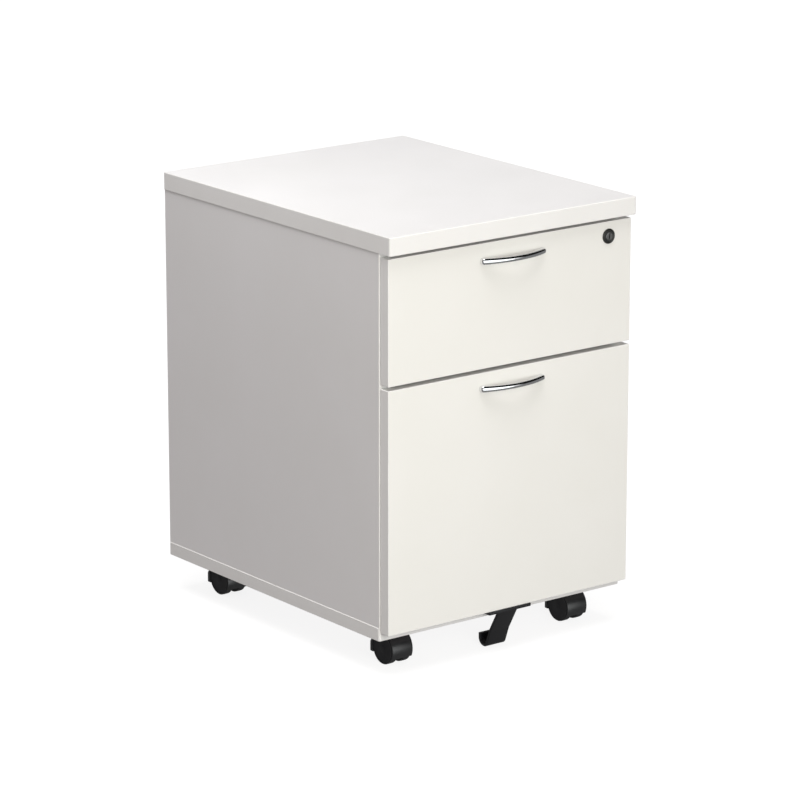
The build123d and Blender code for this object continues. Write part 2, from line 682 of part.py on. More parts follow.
# ---- every node, by name ----
def carcass_nodes():
    top, top_ring = top_panel()
    base, base_ring = base_panel()
    nodes = {
        "top_panel": top, "top_edging": top_ring,
        "base_panel": base, "base_edging": base_ring,
        "left_side_panel": side_panel(-1), "right_side_panel": side_panel(1),
        "side_edging": group(side_edging()), "back_panel": back_panel(),
        "cam_bolts": group(cam_bolts()), "cam_locks": group(cam_locks()),
        "dowels": group(dowels()), "slide_screws": group(slide_screws()),
        "lock_bar_guides": group(bar_guides()), "lock_bar": lock_bar(),
        "castor_plates": group(castor_plates()), "castor_screws": group(castor_screws()),
    }
    for name, half, z in (("upper", UPPER_SLIDE_HALF, UPPER_SLIDE_Z),
                          ("file", FILE_SLIDE_HALF, FILE_SLIDE_Z)):
        members = [cabinet_member(side, half, z) for side in (-1, 1)]
        nodes[name + "_slide_cabinet_members"] = group(members)
    nodes["file_slide_middle_members"] = group([middle_member(side) for side in (-1, 1)])
    return nodes


def drawer_nodes(name, front_z, box_z, slide_half, slide_z, extra_holes):
    z0, z1 = front_z
    screws = tab_screws(*box_z)
    z_handle = z1 - HANDLE_DROP[name]
    bolts = handle_screws(z_handle)
    front, ring = drawer_front(z0, z1, screws + bolts + extra_holes)
    members = [drawer_member(side, slide_half, slide_z) for side in (-1, 1)]
    return {
        name + "_drawer_front": front, name + "_drawer_front_edging": ring,
        name + "_drawer_handle": handle(z_handle),
        name + "_drawer_screws": group(screws + bolts),
        name + "_drawer_left_side": box_side(-1, *box_z, screws),
        name + "_drawer_right_side": box_side(1, *box_z, screws),
        name + "_drawer_back": box_back(*box_z),
        name + "_drawer_bottom": box_bottom(box_z[0]),
        name + "_slide_drawer_members": group(members),
    }


def castor_nodes():
    nodes = {}
    for place, x, axle_y in castor_places():
        nodes["castor_hood_" + place] = castor_hood(x, axle_y)
        nodes["castor_axle_" + place] = castor_axle(x, axle_y)
        for hand, side in (("left", -1), ("right", 1)):
            nodes["castor_" + hand + "_wheel_" + place] = castor_wheel(x, axle_y, side)
    return nodes


def all_nodes():
    nodes = carcass_nodes()
    nodes.update(drawer_nodes("upper", (UPPER_FRONT_BOTTOM, UPPER_FRONT_TOP), UPPER_BOX,
                              UPPER_DRAWER_HALF, UPPER_SLIDE_Z, [lock_hole()]))
    nodes.update(drawer_nodes("file", (FILE_FRONT_BOTTOM, FILE_FRONT_TOP), FILE_BOX,
                              FILE_DRAWER_HALF, FILE_SLIDE_Z, foot_screws()))
    nodes.update({
        "lock_housing": lock_housing(), "lock_nut": lock_nut(),
        "lock_barrel": lock_barrel(), "lock_crank": lock_crank(),
        "hanging_file_rails": group(file_rails()),
        "anti_tilt_foot": anti_tilt_foot(), "foot_screws": group(foot_screws()),
    })
    nodes.update(castor_nodes())
    return nodes


os.makedirs("parts", exist_ok=True)
for node_name, shape in all_nodes().items():
    export_step(shape, "parts/" + node_name + ".step")
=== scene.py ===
import json
import math

import bpy
import numpy as np
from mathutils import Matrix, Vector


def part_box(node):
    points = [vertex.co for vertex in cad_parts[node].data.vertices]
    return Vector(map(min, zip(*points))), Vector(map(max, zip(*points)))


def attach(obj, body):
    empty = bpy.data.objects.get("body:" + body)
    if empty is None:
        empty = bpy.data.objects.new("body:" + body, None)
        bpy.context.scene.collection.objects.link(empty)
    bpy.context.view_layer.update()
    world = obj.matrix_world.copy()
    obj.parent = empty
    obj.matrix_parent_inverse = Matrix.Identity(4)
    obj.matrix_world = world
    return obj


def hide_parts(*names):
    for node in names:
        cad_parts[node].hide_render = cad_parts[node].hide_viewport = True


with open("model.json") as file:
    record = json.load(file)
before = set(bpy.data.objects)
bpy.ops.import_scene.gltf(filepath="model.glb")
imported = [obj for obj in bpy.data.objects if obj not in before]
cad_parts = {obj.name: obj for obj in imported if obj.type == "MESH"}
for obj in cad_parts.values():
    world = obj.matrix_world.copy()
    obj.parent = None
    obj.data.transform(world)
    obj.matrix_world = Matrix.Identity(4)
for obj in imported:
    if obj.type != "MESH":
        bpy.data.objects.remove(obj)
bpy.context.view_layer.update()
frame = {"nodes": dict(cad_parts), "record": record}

MM = 0.001
NODES = frame["nodes"]
PLACES = ("front_left", "front_right", "rear_left", "rear_right")
DRAWERS = ("upper_drawer", "file_drawer")
scene = bpy.context.scene


# ---------------------------------------------------------------- mesh tools
def add_piece(name, points, faces, material, body, replaced=(), sharp=35.0):
    """One finished piece from points in metres and faces, smooth except across sharp corners."""
    mesh = bpy.data.meshes.new(name)
    mesh.from_pydata(np.asarray(points, float).tolist(), [], faces)
    mesh.validate()
    mesh.update()
    mesh.polygons.foreach_set("use_smooth", np.ones(len(mesh.polygons), bool))
    mesh.set_sharp_from_angle(angle=math.radians(sharp))
    mesh.materials.append(material)
    piece = bpy.data.objects.new(name, mesh)
    scene.collection.objects.link(piece)
    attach(piece, body)
    if replaced:
        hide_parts(*replaced)


def grid_faces(rows, columns, close_rows=False, close_columns=True):
    """Quads over a grid of points stored row by row."""
    i = np.arange(rows if close_rows else rows - 1)
    j = np.arange(columns if close_columns else columns - 1)
    i, j = np.meshgrid(i, j, indexing="ij")
    i2, j2 = (i + 1) % rows, (j + 1) % columns
    quads = np.stack([i * columns + j, i * columns + j2, i2 * columns + j2, i2 * columns + j], -1)
    return quads.reshape(-1, 4).tolist()


def signed_volume(points, faces):
    """Six times the volume inside the faces, positive when they point outwards."""
    points = np.asarray(points, float)
    total = 0.0
    for face in faces:
        corner = points[face]
        fan = np.cross(corner[1:-1] - corner[0], corner[2:] - corner[0])
        total += float((fan * corner[0]).sum())
    return total


def outwards(points, faces):
    """The faces, all turned over if together they point inwards."""
    if signed_volume(points, faces) < 0:
        faces = [list(face)[::-1] for face in faces]
    return faces


def tube(rings):
    """A closed skin over rings of points (rows, columns, 3), with a flat cap on each end."""
    rows, columns = rings.shape[:2]
    faces = grid_faces(rows, columns)
    last = (rows - 1) * columns
    faces.append(list(range(columns))[::-1])
    faces.append([last + k for k in range(columns)])
    points = rings.reshape(-1, 3)
    return points, outwards(points, faces)


def join(*pieces):
    """Several (points, faces) skins as one."""
    points, faces, start = [], [], 0
    for part_points, part_faces in pieces:
        points.append(np.asarray(part_points, float))
        faces += [[start + k for k in face] for face in part_faces]
        start += len(part_points)
    return np.concatenate(points), faces


def turned(profile, centre, axis, segments=72):
    """A turned piece: the profile's (radius, height) points carried round the axis.

    Point(i, angle) = centre + height_i * axis + radius_i * (u cos + v sin).
    The profile starts and ends on the axis, so both ends close in a single fan.
    """
    profile = np.asarray(profile, float)
    axis = np.asarray(axis, float)
    side = np.array([0.0, 0.0, 1.0]) if abs(axis[2]) < 0.5 else np.array([1.0, 0.0, 0.0])
    u = np.cross(side, axis)
    v = np.cross(axis, u)
    angle = np.linspace(0, 2 * np.pi, segments, endpoint=False)
    around = np.cos(angle)[:, None] * u + np.sin(angle)[:, None] * v
    inner = profile[1:-1]
    rings = inner[:, 1][:, None, None] * axis + inner[:, 0][:, None, None] * around[None]
    points = np.concatenate([rings.reshape(-1, 3), profile[[0, -1], 1][:, None] * axis]) + centre
    rows = len(inner)
    faces = grid_faces(rows, segments)
    first, last = rows * segments, rows * segments + 1
    for k in range(segments):
        k2 = (k + 1) % segments
        faces.append([first, k2, k])
        faces.append([last, (rows - 1) * segments + k, (rows - 1) * segments + k2])
    return points, outwards(points, faces)


def arc_points(centre, radius, start, stop, count):
    """Points on a circle between two angles in degrees."""
    angle = np.radians(np.linspace(start, stop, count))
    return np.stack([centre[0] + radius * np.cos(angle), centre[1] + radius * np.sin(angle)], 1)


def round_corners(corners, radii, steps=6, closed=True):
    """A polyline whose corners are arcs: each arc touches both of its runs."""
    corners = np.asarray(corners, float)
    count = len(corners)
    line = []
    for k in range(count):
        here, radius = corners[k], radii[k]
        if radius <= 0 or (not closed and k in (0, count - 1)):
            line.append(here[None])
            continue
        before = corners[k - 1] - here
        after = corners[(k + 1) % count] - here
        before /= np.linalg.norm(before)
        after /= np.linalg.norm(after)
        half = math.acos(np.clip(before @ after, -1, 1)) / 2
        middle = (before + after) / np.linalg.norm(before + after)
        centre = here + middle * radius / math.sin(half)
        t0 = here + before * radius / math.tan(half) - centre
        t1 = here + after * radius / math.tan(half) - centre
        a0, a1 = math.atan2(t0[1], t0[0]), math.atan2(t1[1], t1[0])
        turn = (a1 - a0 + np.pi) % (2 * np.pi) - np.pi
        angle = a0 + turn * np.linspace(0, 1, steps + 1)
        line.append(centre + radius * np.stack([np.cos(angle), np.sin(angle)], 1))
    return np.concatenate(line)


def inset(outline, distance):
    """A closed outline moved inwards along its corner bisectors by a distance."""
    before = np.roll(outline, 1, axis=0)
    after = np.roll(outline, -1, axis=0)
    edge_in = outline - before
    edge_out = after - outline
    edge_in /= np.linalg.norm(edge_in, axis=1, keepdims=True)
    edge_out /= np.linalg.norm(edge_out, axis=1, keepdims=True)
    normal_in = np.stack([-edge_in[:, 1], edge_in[:, 0]], 1)
    normal_out = np.stack([-edge_out[:, 1], edge_out[:, 0]], 1)
    area = 0.5 * float((outline[:, 0] * after[:, 1] - after[:, 0] * outline[:, 1]).sum())
    middle = normal_in + normal_out
    scale = 1.0 / np.clip(1.0 + (normal_in * normal_out).sum(1), 0.3, None)
    return outline + np.sign(area) * distance * middle * scale[:, None]


def slab(outline, low, high, radius, place, steps=4):
    """A flat piece of any outline, its two rims rounded by a quarter circle.

    Ring at angle t: the outline inset by r (1 - cos t), at depth low + r (1 - sin t), and
    the mirror of that at the far side. place turns (u, v, depth) into a point.
    """
    outline = np.asarray(outline, float)
    rings = []
    angle = np.linspace(np.pi / 2, 0, steps + 1)
    for t in angle:
        ring = inset(outline, radius * (1 - math.cos(t)))
        rings.append(place(ring[:, 0], ring[:, 1], low + radius * (1 - math.sin(t))))
    for t in angle[::-1]:
        ring = inset(outline, radius * (1 - math.cos(t)))
        rings.append(place(ring[:, 0], ring[:, 1], high - radius * (1 - math.sin(t))))
    return tube(np.stack(rings))


# ---------------------------------------------------------------- finishes
def finish_material(name, color, roughness, metallic=0.0):
    """A new material with its shader and Object coordinates."""
    material = bpy.data.materials.new(name)
    material.use_nodes = True
    tree = material.node_tree
    shader = tree.nodes["Principled BSDF"]
    shader.inputs["Base Color"].default_value = (*color, 1.0)
    shader.inputs["Roughness"].default_value = roughness
    shader.inputs["Metallic"].default_value = metallic
    coordinates = tree.nodes.new("ShaderNodeTexCoord")
    return material, tree, shader, coordinates.outputs["Object"]


def stretched(tree, vector, scale):
    """Object coordinates scaled by a different amount along each axis."""
    node = tree.nodes.new("ShaderNodeMapping")
    node.inputs["Scale"].default_value = scale
    tree.links.new(vector, node.inputs["Vector"])
    return node.outputs["Vector"]


def noise(tree, vector, scale, detail=3.0, roughness=0.55):
    """Noise whose patches are about one metre divided by the scale across."""
    node = tree.nodes.new("ShaderNodeTexNoise")
    node.inputs["Scale"].default_value = scale
    node.inputs["Detail"].default_value = detail
    node.inputs["Roughness"].default_value = roughness
    tree.links.new(vector, node.inputs["Vector"])
    return node.outputs["Fac"]


def span(tree, value, low, high, start=0.3, stop=0.7):
    """A value between start and stop carried to between low and high."""
    node = tree.nodes.new("ShaderNodeMapRange")
    node.inputs["From Min"].default_value = start
    node.inputs["From Max"].default_value = stop
    node.inputs["To Min"].default_value = low
    node.inputs["To Max"].default_value = high
    tree.links.new(value, node.inputs["Value"])
    return node.outputs["Result"]


def maths(tree, operation, *values):
    """One arithmetic step on sockets or numbers."""
    node = tree.nodes.new("ShaderNodeMath")
    node.operation = operation
    for socket, value in zip(node.inputs, values):
        if isinstance(value, (int, float)):
            socket.default_value = value
        else:
            tree.links.new(value, socket)
    return node.outputs["Value"]


def mix_colors(tree, amount, first, second):
    """A colour that goes from the first to the second as the amount goes from 0 to 1."""
    node = tree.nodes.new("ShaderNodeMix")
    node.data_type = "RGBA"
    tree.links.new(amount, node.inputs["Factor"])
    for socket, color in ((node.inputs["A"], first), (node.inputs["B"], second)):
        if isinstance(color, tuple):
            socket.default_value = (*color, 1.0)
        else:
            tree.links.new(color, socket)
    return node.outputs["Result"]


def bump(tree, shader, height, depth, under=None):
    """Raises the surface by a height between 0 and 1 times the depth in metres."""
    node = tree.nodes.new("ShaderNodeBump")
    node.inputs["Strength"].default_value = 1.0
    node.inputs["Distance"].default_value = depth
    tree.links.new(height, node.inputs["Height"])
    if under is not None:
        tree.links.new(under, node.inputs["Normal"])
    tree.links.new(node.outputs["Normal"], shader.inputs["Normal"])
    return node.outputs["Normal"]


def melamine(name, color, warm):
    """White melamine: a fine pearl grain, faint waviness, and patches that differ in gloss."""
    material, tree, shader, vector = finish_material(name, color, 0.4)
    link = tree.links.new
    cloud = noise(tree, vector, 9.0, 4.0)
    link(mix_colors(tree, span(tree, cloud, 0, 1), color, warm), shader.inputs["Base Color"])
    grain = noise(tree, vector, 1900.0, 2.0)
    wave = noise(tree, vector, 60.0, 2.0)
    handled = noise(tree, vector, 14.0, 5.0, 0.7)
    rough = maths(tree, "ADD", span(tree, handled, 0.36, 0.46), span(tree, grain, -0.03, 0.03))
    link(rough, shader.inputs["Roughness"])
    under = bump(tree, shader, wave, 0.00003)
    bump(tree, shader, grain, 0.000022, under)
    shader.inputs["Specular IOR Level"].default_value = 0.45
    return material


def edging_plastic(name, color, warm):
    """Plastic edging: scraped smooth along its length, with short fine drag marks."""
    material, tree, shader, vector = finish_material(name, color, 0.34)
    link = tree.links.new
    cloud = noise(tree, vector, 16.0, 3.0)
    link(mix_colors(tree, span(tree, cloud, 0, 1), color, warm), shader.inputs["Base Color"])
    drag = noise(tree, stretched(tree, vector, (1.0, 1.0, 9.0)), 260.0, 3.0)
    link(span(tree, drag, 0.3, 0.4), shader.inputs["Roughness"])
    bump(tree, shader, drag, 0.000012)
    return material


def powder_coat(name, color, roughness, depth, dust=(0.0, 0.0, 0.0), dusty=0.0):
    """Powder coat: orange peel, a finer speckle, and dust in soft patches."""
    material, tree, shader, vector = finish_material(name, color, roughness)
    link = tree.links.new
    peel = noise(tree, vector, 620.0, 2.0)
    speckle = noise(tree, vector, 2600.0, 1.0)
    patches = noise(tree, vector, 30.0, 5.0, 0.7)
    link(mix_colors(tree, span(tree, patches, 0, dusty, 0.45, 0.8), color, dust), shader.inputs["Base Color"])
    rough = maths(tree, "ADD", span(tree, patches, roughness - 0.05, roughness + 0.07),
                  span(tree, speckle, -0.03, 0.03))
    link(rough, shader.inputs["Roughness"])
    bump(tree, shader, peel, depth)
    return material


def plated_steel(name, color, roughness, along=(1.0, 1.0, 1.0)):
    """Zinc or nickel plate: drawing lines along the metal, dull clouds, tiny pits."""
    material, tree, shader, vector = finish_material(name, color, roughness, 1.0)
    link = tree.links.new
    lines = noise(tree, stretched(tree, vector, along), 900.0, 3.0)
    cloud = noise(tree, vector, 38.0, 5.0, 0.65)
    dull = tuple(c * 0.82 for c in color)
    link(mix_colors(tree, span(tree, cloud, 0, 1), color, dull), shader.inputs["Base Color"])
    rough = maths(tree, "ADD", span(tree, cloud, roughness - 0.06, roughness + 0.08),
                  span(tree, lines, -0.05, 0.05))
    link(rough, shader.inputs["Roughness"])
    bump(tree, shader, lines, 0.00001)
    return material


def polished_chrome(name):
    """Chrome: a bright mirror with a faint polishing haze and hairline marks."""
    color = (0.86, 0.865, 0.875)
    material, tree, shader, vector = finish_material(name, color, 0.04, 1.0)
    link = tree.links.new
    haze = noise(tree, vector, 90.0, 4.0, 0.6)
    hairs = noise(tree, stretched(tree, vector, (1.0, 6.0, 30.0)), 300.0, 2.0)
    link(mix_colors(tree, span(tree, haze, 0, 1), color, (0.79, 0.795, 0.805)), shader.inputs["Base Color"])
    rough = maths(tree, "ADD", span(tree, haze, 0.025, 0.06), span(tree, hairs, 0.0, 0.03, 0.55, 0.75))
    link(rough, shader.inputs["Roughness"])
    bump(tree, shader, hairs, 0.000002)
    return material


def moulded_nylon(name, color, roughness, dust, dusty, tread=False):
    """Black nylon: a soft sheen, cloudy flow marks, pin-point texture, and dust low down.

    A tread is duller than a shell, and its texture is deeper.
    """
    material, tree, shader, vector = finish_material(name, color, roughness)
    link = tree.links.new
    flow = noise(tree, vector, 140.0, 4.0, 0.6)
    points = noise(tree, vector, 2400.0, 1.0)
    settled = noise(tree, vector, 420.0, 4.0, 0.7)
    split = tree.nodes.new("ShaderNodeSeparateXYZ")
    link(vector, split.inputs["Vector"])
    low = span(tree, split.outputs["Z"], 1.0, 0.25, 0.0, 0.03)
    amount = maths(tree, "MULTIPLY", span(tree, settled, 0, dusty, 0.5, 0.8), low)
    link(mix_colors(tree, amount, color, dust), shader.inputs["Base Color"])
    rough = maths(tree, "ADD", span(tree, flow, roughness - 0.05, roughness + 0.06),
                  span(tree, settled, 0.0, 0.1 if tread else 0.05))
    link(rough, shader.inputs["Roughness"])
    under = bump(tree, shader, flow, 0.00002)
    bump(tree, shader, points, 0.000014 if tread else 0.000008, under)
    shader.inputs["Specular IOR Level"].default_value = 0.5 if tread else 0.9
    return material


def turned_metal(name, color, roughness, centre):
    """Dark plated metal turned on a lathe: fine rings round the lock's own axis, and wear."""
    material, tree, shader, vector = finish_material(name, color, roughness, 1.0)
    link = tree.links.new
    split = tree.nodes.new("ShaderNodeSeparateXYZ")
    link(vector, split.inputs["Vector"])
    across = maths(tree, "SUBTRACT", split.outputs["X"], centre[0])
    up = maths(tree, "SUBTRACT", split.outputs["Z"], centre[2])
    distance = maths(tree, "SQRT", maths(tree, "ADD", maths(tree, "MULTIPLY", across, across),
                                         maths(tree, "MULTIPLY", up, up)))
    rings = maths(tree, "SINE", maths(tree, "MULTIPLY", distance, 26000.0))
    wear = noise(tree, vector, 520.0, 4.0, 0.65)
    worn = tuple(min(1.0, c * 2.2) for c in color)
    link(mix_colors(tree, span(tree, wear, 0, 0.7, 0.55, 0.8), color, worn), shader.inputs["Base Color"])
    rough = maths(tree, "ADD", span(tree, wear, roughness - 0.04, roughness + 0.1),
                  span(tree, rings, -0.03, 0.03, -1, 1))
    link(rough, shader.inputs["Roughness"])
    bump(tree, shader, rings, 0.000003)
    return material


def beech_wood(name):
    """Beech dowels: growth lines along the pin and short dark flecks."""
    color = (0.58, 0.40, 0.23)
    material, tree, shader, vector = finish_material(name, color, 0.6)
    link = tree.links.new
    grain = noise(tree, stretched(tree, vector, (1.0, 1.0, 0.08)), 900.0, 4.0)
    flecks = noise(tree, stretched(tree, vector, (1.0, 1.0, 0.2)), 2400.0, 2.0)
    link(mix_colors(tree, span(tree, grain, 0, 1), color, (0.46, 0.3, 0.16)), shader.inputs["Base Color"])
    link(span(tree, flecks, 0.5, 0.7), shader.inputs["Roughness"])
    bump(tree, shader, grain, 0.00006)
    return material


LOCK_LOW, LOCK_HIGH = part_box("lock_housing")
LOCK_AT = np.array([(LOCK_LOW.x + LOCK_HIGH.x) / 2, LOCK_LOW.y, (LOCK_LOW.z + LOCK_HIGH.z) / 2])

FINISHES = {
    "melamine_top": melamine("melamine_top", (0.83, 0.83, 0.83), (0.815, 0.815, 0.81)),
    "melamine": melamine("melamine", (0.81, 0.805, 0.805), (0.795, 0.79, 0.785)),
    "front_laminate": melamine("front_laminate", (0.825, 0.822, 0.79), (0.81, 0.807, 0.77)),
    "edging": edging_plastic("edging", (0.84, 0.838, 0.825), (0.82, 0.817, 0.80)),
    "handle_chrome": polished_chrome("handle_chrome"),
    "drawer_steel": powder_coat("drawer_steel", (0.56, 0.57, 0.58), 0.42, 0.00002),
    "slide_zinc": plated_steel("slide_zinc", (0.62, 0.64, 0.66), 0.3, (1.0, 0.03, 1.0)),
    "fitting_zinc": plated_steel("fitting_zinc", (0.6, 0.61, 0.63), 0.34),
    "beech": beech_wood("beech"),
    "guide_plastic": powder_coat("guide_plastic", (0.7, 0.7, 0.7), 0.5, 0.00001),
    "lock_dark": turned_metal("lock_dark", (0.085, 0.085, 0.08), 0.3, LOCK_AT),
    "lock_plug": turned_metal("lock_plug", (0.2, 0.2, 0.195), 0.36, LOCK_AT),
    "castor_black": moulded_nylon("castor_black", (0.009, 0.0095, 0.0105), 0.3,
                                  (0.06, 0.058, 0.055), 0.2),
    "wheel_black": moulded_nylon("wheel_black", (0.008, 0.0085, 0.0105), 0.42,
                                 (0.08, 0.077, 0.073), 0.35, tread=True),
    "axle_steel": plated_steel("axle_steel", (0.58, 0.58, 0.6), 0.28),
    "foot_black": powder_coat("foot_black", (0.007, 0.007, 0.0085), 0.42, 0.00003,
                              (0.05, 0.048, 0.046), 0.12),
}


def finish_cad_nodes():
    """Every carried-over node takes the finish of its own material slot."""
    for part in frame["record"]["subparts"]:
        mesh = NODES[part["node"]].data
        mesh.materials.clear()
        mesh.materials.append(FINISHES[part["material_slot"]])


# ---------------------------------------------------------------- handles
def along_line(line, share):
    """Points at given shares of a polyline's length."""
    step = np.linalg.norm(np.diff(line, axis=0), axis=1)
    reached = np.concatenate([[0.0], np.cumsum(step)]) / step.sum()
    return np.stack([np.interp(share, reached, line[:, k]) for k in (0, 1)], 1)


def shallow_arc(half, end, crown, count=161):
    """A plan arc from (-half, end) over (0, crown) to (half, end)."""
    depth = crown - end
    radius = (half ** 2 + depth ** 2) / (2 * depth)
    x = half * np.sin(np.linspace(-np.pi / 2, np.pi / 2, count))
    return np.stack([x, end + np.sqrt(radius ** 2 - x ** 2) - (radius - depth)], 1)


# The handle in plan, in millimetres: the rise of its legs off the drawer front, the corner
# above them, the width of a foot, the bow's thickness in the middle, and half its height there.
HANDLE_STANDOFF, HANDLE_CORNER, HANDLE_FOOT = 5.0, 3.0, 9.5
HANDLE_WAIST, HANDLE_HALF_TALL = 6.4, 3.7
# Sections along it, points round each, how far the sections crowd to the ends, and the
# superellipse's n in the middle and how much it grows by.
HANDLE_SECTIONS, HANDLE_AROUND, END_CROWDING = 121, 48, 0.35
SQUARE_MIDDLE, SQUARE_GAIN = 2.0, 0.5


def handle(drawer):
    """A bow whose section spans from an inner plan line to an outer one.

    The outer line rises from the drawer front, turns a small corner and runs as one shallow
    arc; the inner line is an arc alone. Both are cut at the same shares of their length,
    which lie closer together near the ends.
    A section's edge is middle + half (outer - inner) c + up times half the height times d,
    with c and d the cosine and sine of an angle raised to the power 2 / n, as in a
    superellipse. The half height and n grow towards the ends. Both ends lie flat on the
    drawer front.
    """
    node = drawer + "_handle"
    low, high = (np.array(corner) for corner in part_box(node))
    half = (high[0] - low[0]) / 2
    reach = high[1] - low[1]
    bend = HANDLE_CORNER * MM
    half_tall_middle = HANDLE_HALF_TALL * MM
    half_tall_end = (high[2] - low[2]) / 2
    centre = np.array([(low[0] + high[0]) / 2, high[1], (low[2] + high[2]) / 2])
    arc = shallow_arc(half, HANDLE_STANDOFF * MM, reach)
    corners = np.concatenate([[(-half, 0.0)], arc, [(half, 0.0)]])
    radii = np.array([0.0, bend] + [0.0] * (len(arc) - 2) + [bend, 0.0])
    keep = (np.abs(corners[:, 0]) < half - 1.3 * bend) | (radii > 0) | (corners[:, 1] == 0)
    outer_line = round_corners(corners[keep], radii[keep], 8, closed=False)
    even = np.linspace(0, 1, HANDLE_SECTIONS)
    crowded = (1 + np.sin(np.linspace(-np.pi / 2, np.pi / 2, HANDLE_SECTIONS))) / 2
    share = END_CROWDING * crowded + (1 - END_CROWDING) * even
    outer = along_line(outer_line, share)
    inner = along_line(shallow_arc(half - HANDLE_FOOT * MM, 0.0, reach - HANDLE_WAIST * MM), share)
    middle, half_span = (outer + inner) / 2, (outer - inner) / 2
    towards_end = (outer[:, 0] / half) ** 2
    half_tall = half_tall_middle + (half_tall_end - half_tall_middle) * towards_end
    power = (2 / (SQUARE_MIDDLE + SQUARE_GAIN * towards_end))[:, None]
    angle = np.linspace(0, 2 * np.pi, HANDLE_AROUND, endpoint=False)
    c = np.sign(np.cos(angle)) * np.abs(np.cos(angle)) ** power
    d = np.sign(np.sin(angle)) * np.abs(np.sin(angle)) ** power
    flat = middle[:, None] + half_span[:, None] * c[..., None]
    rings = np.stack([flat[..., 0], -flat[..., 1], half_tall[:, None] * d], -1)
    points, faces = tube(rings + centre)
    add_piece(drawer + "_bow_handle", points, faces, FINISHES["handle_chrome"], drawer,
              (node,), 50.0)


# ---------------------------------------------------------------- lock
def ring_turned(profile, centre, segments=96):
    """A closed (radius, height) loop carried round the lock's axis, height towards the front."""
    profile = np.asarray(profile, float)
    angle = np.linspace(0, 2 * np.pi, segments, endpoint=False)
    x = profile[:, 0, None] * np.cos(angle)
    z = profile[:, 0, None] * np.sin(angle)
    y = -profile[:, 1, None] + 0 * x
    points = np.stack([x, y, z], -1).reshape(-1, 3) * MM + centre
    faces = grid_faces(len(profile), segments, close_rows=True)
    return points, outwards(points, faces)


def lock_face():
    """Bezel: a raised rim, a dished ring and a bevel down to the bore, all turned in one loop."""
    face = np.array([LOCK_AT[0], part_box("upper_drawer_front")[0].y, LOCK_AT[2]])
    deep = (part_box("lock_housing")[1].y - face[1]) / MM
    loop = [(5.6, -deep), (5.6, 1.1), (5.8, 1.35), (6.3, 1.45), (6.8, 1.32), (7.6, 1.32), (8.0, 1.5)]
    loop += arc_points((8.75, 1.3), 0.7, 150, 40, 7).tolist()
    loop += arc_points((9.2, 1.05), 0.8, 45, 0, 6).tolist()
    loop += [(10.0, 0.02), (9.0, 0.0), (9.0, -deep)]
    points, faces = ring_turned(loop, face)
    add_piece("lock_bezel", points, faces, FINISHES["lock_dark"], "upper_drawer",
              ("lock_housing",), 50.0)


# The lock plug's radius, and its keyway's half width, half height and depth, in millimetres.
PLUG_R, KEYWAY_HALF, KEYWAY_DEEP = 5.5, (0.8, 3.5), 5.0


def lock_plug():
    """The barrel: a circle that closes in to the keyway's outline, then drops down the keyway.

    Each step is an outline and its depth behind the face, with a shallow ring turned into it.
    """
    low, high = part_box("lock_barrel")
    front, deep = low.y, (high.y - low.y) / MM
    count = 96
    angle = np.linspace(0, 2 * np.pi, count, endpoint=False)
    circle = np.stack([np.cos(angle), np.sin(angle)], 1)
    keyway = circle * np.min(KEYWAY_HALF / np.maximum(np.abs(circle), 1e-6), axis=1)[:, None]
    steps = [(PLUG_R * circle, deep), (PLUG_R * circle, 0.5), (5.35 * circle, 0.15), (5.05 * circle, 0.0),
             (4.3 * circle, 0.0), (4.2 * circle, 0.12), (3.95 * circle, 0.12), (3.85 * circle, 0.0),
             (keyway * 1.08, 0.0), (keyway, 0.12), (keyway, KEYWAY_DEEP)]
    rings = np.stack([np.stack([flat[:, 0], 0 * flat[:, 0] + depth, flat[:, 1]], 1)
                      for flat, depth in steps])
    points, faces = tube(rings * MM + np.array([LOCK_AT[0], front, LOCK_AT[2]]))
    add_piece("lock_plug", points, faces, FINISHES["lock_plug"], "lock_barrel",
              ("lock_barrel",), 40.0)


# ---------------------------------------------------------------- castors
# The castor, in millimetres from its axle, with the angle of the hood's rear slope in degrees.
HOOD_R, HOOD_WALL, HOOD_REAR, HOOD_SLOPE = 23.0, 1.5, 26.0, 40.0
HOOD_FRONT_DROP, HOOD_REAR_DROP, HOOD_HALF, HOOD_RIM = 10.2, 8.8, 16.3, 0.45
WEB_GAP, WEB_HALF, WEB_FOOT, WEB_RIM = 0.9, 4.0, (14.0, -6.0), 0.4
NECK_LOW, NECK_R, COLLAR_R = -6.0, 5.2, 8.0
SWIVEL_TRAIL = 13.0
WHEEL_R, WHEEL_DEEP, TREAD_CROWN, WHEEL_CORNER = 20.8, 10.6, 80.0, 1.2


